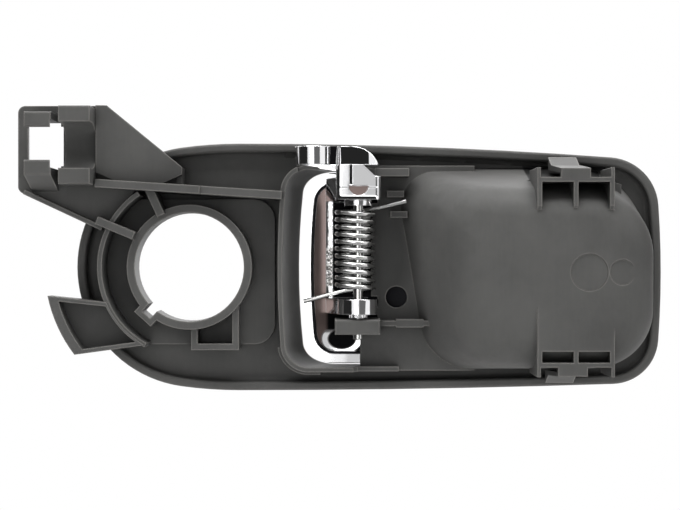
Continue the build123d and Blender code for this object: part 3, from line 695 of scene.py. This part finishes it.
PLASTIC = MouldedPlastic()
CHROME = LeverPlating("chrome_plate", colour=(0.88, 0.88, 0.89), roughness=(0.02, 0.06), wave_scale=(60.0, 60.0, 60.0),
                      wave_height=0.03 * MM, edge_radius=0.4 * MM)
GROUND_STEEL = BrightMetal("ground_steel", colour=(0.74, 0.74, 0.73), roughness=(0.14, 0.24),
                           wave_scale=(900.0, 900.0, 120.0), wave_height=0.004 * MM, edge_radius=0.2 * MM)
DRAWN_WIRE = BrightMetal("drawn_wire", colour=(0.70, 0.70, 0.69), roughness=(0.12, 0.22),
                         wave_scale=(500.0, 500.0, 2200.0), wave_height=0.004 * MM, edge_radius=0.05 * MM)


def new_piece(name: str, points: np.ndarray, faces: list[list[int]]) -> bpy.types.Object:
    """Puts points and faces into a new smooth-shaded object at the origin.

    Args:
        name: name of the piece.
        points: n by 3 array of places.
        faces: point numbers of each face.

    Returns:
        The object, linked to the scene.
    """
    mesh = bpy.data.meshes.new(name)
    mesh.from_pydata(points.tolist(), [], faces)
    mesh.validate()
    mesh.polygons.foreach_set("use_smooth", np.ones(len(mesh.polygons), bool))
    piece = bpy.data.objects.new(name, mesh)
    bpy.context.scene.collection.objects.link(piece)
    return piece


def skin_of(node: str, name: str, sharp_deg: float) -> bpy.types.Object:
    """Copies a solid's loose triangles into one welded mesh that shades smoothly up to an angle.

    Args:
        node: name of the solid.
        name: name of the new piece, which stands for it.
        sharp_deg: angle above which an edge stays sharp.

    Returns:
        The welded copy, with normals weighted by face area.
    """
    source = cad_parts[node].data
    points = np.empty(len(source.vertices) * 3, np.float32)
    source.vertices.foreach_get("co", points)
    source.calc_loop_triangles()
    corners = np.empty(len(source.loop_triangles) * 3, np.int32)
    source.loop_triangles.foreach_get("vertices", corners)
    rounded = np.round(points.reshape(-1, 3).astype(float), WELD_DIGITS)
    welded, back = np.unique(rounded, axis=0, return_inverse=True)
    faces = back.reshape(-1)[corners].reshape(-1, 3)
    whole = (faces[:, 0] != faces[:, 1]) & (faces[:, 1] != faces[:, 2]) & (faces[:, 2] != faces[:, 0])
    piece = new_piece(name, welded, faces[whole].tolist())
    piece.data.set_sharp_from_angle(angle=math.radians(sharp_deg))
    weigh = piece.modifiers.new("face_weight", "WEIGHTED_NORMAL")
    weigh.keep_sharp = True
    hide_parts(node)
    return piece


def ring_quads(rings: int, around: int) -> np.ndarray:
    """Joins rings of points into a tube.

    Args:
        rings: number of rings.
        around: number of points on each ring.

    Returns:
        Array of quads: point j of a ring, point j + 1, and the points j + 1 and j of the next ring.
    """
    here = np.arange(around)
    there = (here + 1) % around
    row = np.arange(rings - 1)[:, None] * around
    return np.stack([row + here, row + there, row + around + there, row + around + here], 2).reshape(-1, 4)


def turned(name: str, radii: np.ndarray, heights: np.ndarray, centre: np.ndarray, around: int) -> bpy.types.Object:
    """Carries a profile round an upright axis.

    Args:
        name: name of the piece.
        radii: radius at each place of the profile, zero at both ends.
        heights: height at each place of the profile.
        centre: any point of the axis.
        around: number of steps round the axis.

    Returns:
        The closed piece: point (i, j) is (radius_i cos a_j, radius_i sin a_j, height_i), with one point at each pole.
    """
    angles = np.arange(around) * (2 * math.pi / around)
    ring = np.stack([np.cos(angles), np.sin(angles)], 1)
    body = radii[1:-1, None, None] * ring[None]
    rings = len(radii) - 2
    z = np.broadcast_to(heights[1:-1, None, None], (rings, around, 1))
    points = np.concatenate([body + centre[None, None, :2], z], 2).reshape(-1, 3)
    poles = np.array([[centre[0], centre[1], heights[0]], [centre[0], centre[1], heights[-1]]])
    here = np.arange(around)
    there = (here + 1) % around
    top = (rings - 1) * around
    low_cap = np.stack([there, here, np.full(around, rings * around)], 1)
    high_cap = np.stack([top + here, top + there, np.full(around, rings * around + 1)], 1)
    faces = ring_quads(rings, around).tolist() + low_cap.tolist() + high_cap.tolist()
    return new_piece(name, np.concatenate([points, poles]), faces)


def dress(piece: bpy.types.Object, material: bpy.types.Material) -> None:
    """Gives a piece its finish.

    Args:
        piece: the piece.
        material: its finish.
    """
    piece.data.materials.clear()
    piece.data.materials.append(material)


@dataclass
class Housing:
    """Moulded bezel housing with its bracket, clips and finger pocket."""

    sharp_deg: float = 32.0

    def build(self) -> bpy.types.Object:
        """Makes the housing.

        Returns:
            The housing's skin, dressed in plastic.
        """
        piece = skin_of("bezel_housing", "bezel_moulding", self.sharp_deg)
        dress(piece, PLASTIC.build())
        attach(piece, Body.HOUSING.value)
        return piece


@dataclass
class PullLever:
    """Chrome pull lever."""

    sharp_deg: float = 30.0
    step_floor: float = 2.0 * MM
    groove_floor: float = -14.8 * MM
    recess_floor: float = -14.1 * MM
    recess_low: float = 20.6 * MM
    spine_floor: float = 0.3 * MM
    slack: float = 0.06 * MM
    facing: float = -0.35

    def mark_plating(self, piece: bpy.types.Object) -> None:
        """Marks faces by their plating: thin on floors, painted shade in the step and the groove, and cast on the
        spine.

        Args:
            piece: the lever's skin.
        """
        faces = piece.data.polygons
        normals = np.empty(len(faces) * 3, np.float32)
        faces.foreach_get("normal", normals)
        centres = np.empty(len(faces) * 3, np.float32)
        faces.foreach_get("center", centres)
        depth, height = centres.reshape(-1, 3)[:, 1], centres.reshape(-1, 3)[:, 2]
        backward = normals.reshape(-1, 3)[:, 1] < self.facing
        step, groove, recess, spine = (
            backward & (np.abs(depth - floor) < self.slack)
            for floor in (self.step_floor, self.groove_floor, self.recess_floor, self.spine_floor))
        groove &= height > self.recess_low
        recess &= height > self.recess_low
        hollow = backward & (depth > self.step_floor + self.slack)
        # The step and the groove are marked for painted shade
        marks = {Plating.THIN: step | groove | recess | hollow, Plating.STEP_SHADE: step | groove, Plating.CAST: spine}
        for mark, marked in marks.items():
            layer = piece.data.attributes.new(mark.value, "FLOAT", "FACE")
            layer.data.foreach_set("value", marked.astype(np.float32))

    def build(self) -> bpy.types.Object:
        """Makes the lever.

        Returns:
            The lever's skin, dressed in chrome.
        """
        piece = skin_of("pull_lever", "chrome_lever", self.sharp_deg)
        self.mark_plating(piece)
        dress(piece, CHROME.build())
        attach(piece, Body.LEVER.value)
        return piece


@dataclass
class PivotPin:
    """Steel pin that the lever turns on."""

    chamfer: float = 0.4 * MM
    around: int = 48
    sharp_deg: float = 30.0

    def build(self) -> bpy.types.Object:
        """Makes the pin as a turned profile.

        Returns:
            The pin. Its surface is the profile (radius, height) carried round the pin's axis.
        """
        low, high = (np.array(corner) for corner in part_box("pivot_pin"))
        radius = (high[0] - low[0]) / 2
        inner = radius - self.chamfer
        radii = np.array([0.0, inner, radius, radius, inner, 0.0])
        heights = np.array([low[2], low[2], low[2] + self.chamfer, high[2] - self.chamfer, high[2], high[2]])
        piece = turned("steel_pin", radii, heights, (low + high) / 2, self.around)
        piece.data.set_sharp_from_angle(angle=math.radians(self.sharp_deg))
        dress(piece, GROUND_STEEL.build())
        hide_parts("pivot_pin")
        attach(piece, Body.HOUSING.value)
        return piece


@dataclass
class ReturnSpring:
    """Left-hand torsion spring round the pin, with a straight leg at each end."""

    wire_radius: float = 0.7 * MM
    coil_radius: float = 5.6 * MM
    coil_x: float = 50.7 * MM
    coil_y: float = -8.0 * MM
    coil_top: float = 17.4 * MM
    pitch: float = 2.2 * MM
    full_turns: int = 11
    upper_tip: Point = (66.3 * MM, -7.6 * MM, 20.1 * MM)
    lower_tip_x: float = 34.7 * MM
    lower_tip_y: float = 0.35 * MM
    lower_fall: float = 3.8 * MM
    steps_per_turn: int = 60
    leg_steps: int = 24
    around: int = 16
    sharp_deg: float = 50.0

    def root_angle(self, x: float, y: float, side: int) -> float:
        """Angle on the coil where a straight leg to a point leaves it as a tangent.

        Args:
            x: tip of the leg along X.
            y: tip of the leg along Y.
            side: 1 or -1, for the tangent on either side.

        Returns:
            The angle in radians.
        """
        along, across = x - self.coil_x, y - self.coil_y
        return math.atan2(across, along) + side * math.acos(self.coil_radius / math.hypot(along, across))

    def path(self) -> tuple[np.ndarray, float]:
        """Works out the wire's centre line.

        Returns:
            The points from the lower tip to the upper tip, and the height of the coil's lower end. The coil is a
            helix, and each leg is a cubic that starts along its chord and ends along the helix.
        """
        start = self.root_angle(self.lower_tip_x, self.lower_tip_y, -1)
        end = self.root_angle(self.upper_tip[0], self.upper_tip[1], 1)
        turns = self.full_turns - (end - start) / (2 * math.pi)
        share = np.linspace(0.0, 1.0, int(turns * self.steps_per_turn))
        angle = start - 2 * math.pi * turns * share
        bottom = self.coil_top - turns * self.pitch
        coil = np.stack([self.coil_x + self.coil_radius * np.cos(angle),
                         self.coil_y + self.coil_radius * np.sin(angle),
                         bottom + turns * self.pitch * share], 1)
        lower_tip = np.array([self.lower_tip_x, self.lower_tip_y, bottom - self.lower_fall])
        lower = self.leg(lower_tip, coil[0], coil[1] - coil[0])
        upper = self.leg(np.array(self.upper_tip), coil[-1], coil[-2] - coil[-1])
        return np.concatenate([lower[:-1], coil, upper[-2::-1]]), bottom

    def leg(self, tip: np.ndarray, root: np.ndarray, heading: np.ndarray) -> np.ndarray:
        """Runs a leg from its tip to its root on the coil.

        Args:
            tip: free end of the leg.
            root: end of the coil.
            heading: direction of the coil at its end.

        Returns:
            Points on the cubic p(t) = tip h0 + chord h1 + root h2 + heading h3, with Hermite's four weights.
        """
        chord = root - tip
        heading = heading / np.linalg.norm(heading) * np.linalg.norm(chord)
        t = np.linspace(0.0, 1.0, self.leg_steps)[:, None]
        h0 = 2 * t**3 - 3 * t**2 + 1
        h1 = t**3 - 2 * t**2 + t
        h2 = 3 * t**2 - 2 * t**3
        h3 = t**3 - t**2
        return tip * h0 + chord * h1 + root * h2 + heading * h3

    def build(self) -> bpy.types.Object:
        """Makes the wire as a round section carried along its path.

        Returns:
            The spring, which winds up between the housing, at its top, and the lever, at its bottom.
        """
        line, bottom = self.path()
        run = np.gradient(line, axis=0)
        run /= np.linalg.norm(run, axis=1)[:, None]
        side = np.cross(run, np.array([0.0, 0.0, 1.0]))
        side /= np.linalg.norm(side, axis=1)[:, None]
        up = np.cross(side, run)
        angle = np.arange(self.around) * (2 * math.pi / self.around)
        ring = side[:, None] * np.cos(angle)[None, :, None] + up[:, None] * np.sin(angle)[None, :, None]
        points = (line[:, None] + self.wire_radius * ring).reshape(-1, 3)
        start = np.arange(self.around)
        end = start[::-1] + (len(line) - 1) * self.around
        # The section turns the other way round the wire, so each quad is taken backwards
        sides = ring_quads(len(line), self.around)[:, [0, 3, 2, 1]]
        piece = new_piece("torsion_spring", points, [*sides.tolist(), start.tolist(), end.tolist()])
        piece.data.set_sharp_from_angle(angle=math.radians(self.sharp_deg))
        dress(piece, DRAWN_WIRE.build())
        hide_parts("return_spring")
        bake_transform(piece)
        return piece


@dataclass
class PhotoCamera:
    """Camera square to the bezel, on the door side."""

    picture_width: int = 680
    focal_pixels: float = 1387.0
    sensor: float = 36.0
    distance: float = 430.0 * MM
    centre_x: float = 45.98 * MM
    centre_z: float = 3.70 * MM
    clip: Span = (0.01, 20.0)

    def build(self) -> bpy.types.Object:
        """Sets up the camera.

        Returns:
            The camera, looking along +Y, which the scene uses.
        """
        lens = bpy.data.cameras.new("camera")
        lens.sensor_width = self.sensor
        lens.lens = self.sensor * self.focal_pixels / self.picture_width
        lens.clip_start, lens.clip_end = self.clip
        camera = bpy.data.objects.new("camera", lens)
        camera.location = (self.centre_x, -self.distance, self.centre_z)
        camera.rotation_euler = (math.pi / 2, 0.0, 0.0)
        bpy.context.scene.collection.objects.link(camera)
        bpy.context.scene.camera = camera
        return camera


@dataclass(frozen=True)
class SoftBox:
    """Rectangular studio lamp aimed at the handle."""

    name: str
    place: Point
    size: Span
    watts: float
    mirrored: bool = True

    def build(self, target: Vector) -> bpy.types.Object:
        """Hangs the lamp.

        Args:
            target: point that the lamp faces.

        Returns:
            The lamp's object.
        """
        lamp = bpy.data.lights.new(self.name, "AREA")
        lamp.shape = "RECTANGLE"
        lamp.size, lamp.size_y = self.size
        lamp.energy = self.watts
        holder = bpy.data.objects.new(self.name, lamp)
        holder.location = self.place
        holder.visible_glossy = self.mirrored
        holder.rotation_euler = (target - Vector(self.place)).to_track_quat("-Z", "Y").to_euler()
        bpy.context.scene.collection.objects.link(holder)
        return holder


@dataclass(frozen=True)
class ReflectionCard:
    """Upright card round the handle that only shows in reflections."""

    name: str
    start_deg: float
    end_deg: float
    start_glow: float
    end_glow: float
    radius: float = 0.9
    half_height: float = 0.5

    def build(self, target: Vector) -> bpy.types.Object:
        """Stands the card up between two bearings, counted from the camera's side towards +X.

        Args:
            target: point that the bearings are taken from.

        Returns:
            The card, seen only in reflections.
        """
        bearings = np.radians([self.start_deg, self.end_deg, self.end_deg, self.start_deg])
        heights = self.half_height * np.array([-1.0, -1.0, 1.0, 1.0])
        corners = np.stack([np.sin(bearings) * self.radius, -np.cos(bearings) * self.radius, heights], 1)
        card = new_piece(self.name, corners + np.array(target), [[0, 1, 2, 3]])
        layer = card.data.attributes.new("glow", "FLOAT", "POINT")
        layer.data.foreach_set("value", [self.start_glow, self.end_glow, self.end_glow, self.start_glow])
        material, graph = new_material(self.name)
        material.cycles.emission_sampling = "NONE"
        face = graph.add("ShaderNodeEmission")
        glow = graph.add("ShaderNodeAttribute", attribute_name="glow")
        graph.link(glow.outputs["Fac"], face.inputs["Strength"])
        graph.close(face.outputs["Emission"])
        card.data.materials.append(material)
        card.visible_camera = card.visible_diffuse = card.visible_shadow = card.visible_transmission = False
        return card


@dataclass
class Studio:
    """White studio: a pale floor, soft boxes, cards for the chrome, and a white surround."""

    floor_z: float = -120.0 * MM
    floor_reach: float = 6.0
    floor_colour: Colour = (0.86, 0.86, 0.86)
    shadow_fade: Span = (0.16, 0.24)
    mirrored_reach: Span = (-0.35, 0.55)
    mirrored_level: Span = (0.10, 0.85)
    mirrored_fade: Span = (0.25, 1.15)
    ambient: float = 0.06
    target: Point = (45.0 * MM, 0.0, 0.0)

    def lamps(self) -> list[SoftBox]:
        """Lists the soft boxes: a key overhead, weaker ones round it, and lamps for the cabin side."""
        return [
            SoftBox("key_box", (0.05, -0.18, 0.70), (0.9, 0.4), 7.4),
            SoftBox("corner_box", (-0.50, -0.30, 0.45), (0.5, 0.4), 1.0, mirrored=False),
            SoftBox("back_box", (0.05, 0.45, 0.55), (0.9, 0.4), 2.6),
            SoftBox("fill_box", (-0.115, -0.88, 0.0), (0.30, 0.32), 0.7),
            SoftBox("side_box", (0.72, -0.35, 0.05), (0.5, 0.5), 0.6, mirrored=False),
            SoftBox("low_box", (0.60, -0.35, -0.42), (0.5, 0.4), 1.5, mirrored=False),
            SoftBox("cabin_box", (0.10, 0.72, 0.10), (0.8, 0.5), 2.4),
        ]

    def cards(self) -> list[ReflectionCard]:
        """Lists the cards, round the camera and on the cabin side, that give the chrome its dark bands."""
        return [
            ReflectionCard("left_dark_card", -104.0, -36.0, 0.02, 0.02),
            ReflectionCard("right_grey_card", 0.4, 6.0, 0.62, 0.62),
            ReflectionCard("right_dim_card", 6.0, 41.0, 0.14, 0.14),
            ReflectionCard("right_dark_card", 78.0, 142.0, 0.02, 0.02),
            ReflectionCard("cabin_card", 182.0, 246.0, 0.9, 0.03),
        ]

    def paper(self) -> bpy.types.Material:
        """Makes the floor's finish.

        Returns:
            Material that takes the handle's shadow near it, and is plain white to the camera further out. In
            reflections it runs from dark to pale along X, and to white far out. Seen from below it is clear.
        """
        material, graph = new_material("pale_floor")
        place = graph.add("ShaderNodeTexCoord").outputs["Object"]
        radius = graph.distance(place, (-self.target[0], 0.0, -self.floor_z))
        rays = graph.add("ShaderNodeLightPath").outputs
        matt = graph.add("ShaderNodeBsdfDiffuse", {"Color": opaque(self.floor_colour)})
        white = graph.add("ShaderNodeEmission", {"Color": opaque(WHITE), "Strength": 1.0})
        far = graph.times(rays["Is Camera Ray"], graph.ramp(radius, *self.shadow_fade))
        seen = graph.mix(far, matt.outputs["BSDF"], white.outputs["Emission"])
        sheen = graph.add("ShaderNodeEmission", {"Color": opaque(WHITE)})
        level = graph.ramp(graph.axes(place).x, *self.mirrored_reach, *self.mirrored_level)
        glow = graph.reckon("MAXIMUM", level, graph.ramp(radius, *self.mirrored_fade))
        graph.link(glow, sheen.inputs["Strength"])
        above = graph.mix(rays["Is Glossy Ray"], seen, sheen.outputs["Emission"])
        clear = graph.add("ShaderNodeBsdfTransparent")
        below = graph.add("ShaderNodeNewGeometry")
        graph.close(graph.mix(below.outputs["Backfacing"], above, clear.outputs["BSDF"]))
        return material

    def floor(self) -> bpy.types.Object:
        """Lays the floor.

        Returns:
            A wide square under the handle.
        """
        corners = self.floor_reach * np.array([[-1.0, -1.0, 0.0], [1.0, -1.0, 0.0], [1.0, 1.0, 0.0], [-1.0, 1.0, 0.0]])
        floor = new_piece("floor", corners + np.array([0.0, 0.0, self.floor_z]), [[0, 1, 2, 3]])
        floor.data.materials.append(self.paper())
        floor.visible_shadow = False
        return floor

    def surround(self) -> None:
        """Makes the world: white to the camera and in reflections, a plain ambient light elsewhere."""
        world = bpy.data.worlds.new("white_surround")
        world.use_nodes = True
        bpy.context.scene.world = world
        graph = NodeTree(world.node_tree)
        rays = graph.add("ShaderNodeLightPath").outputs
        direct = graph.reckon("MAXIMUM", rays["Is Camera Ray"], rays["Is Glossy Ray"])
        seen = graph.reckon("MAXIMUM", direct, rays["Is Transmission Ray"])
        white = graph.add("ShaderNodeBackground", {"Color": opaque(WHITE)})
        graph.link(graph.ramp(seen, 0.0, 1.0, self.ambient, 1.0), white.inputs["Strength"])
        graph.close(white.outputs["Background"], "ShaderNodeOutputWorld")

    def build(self) -> None:
        """Sets up the floor, the surround, the lamps and the cards."""
        target = Vector(self.target)
        self.floor()
        self.surround()
        for fitting in (*self.lamps(), *self.cards()):
            fitting.build(target)
        bpy.context.scene.view_settings.view_transform = "Standard"


def main() -> None:
    """Builds the pieces, the studio and the camera."""
    logging.basicConfig(level=logging.INFO, format="%(message)s")
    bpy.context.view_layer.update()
    for part in (Housing(), PullLever(), PivotPin(), ReturnSpring()):
        piece = part.build()
        LOG.info("%s: %d faces", piece.name, len(piece.data.polygons))
    Studio().build()
    PhotoCamera().build()


if __name__ == "__main__":
    main()
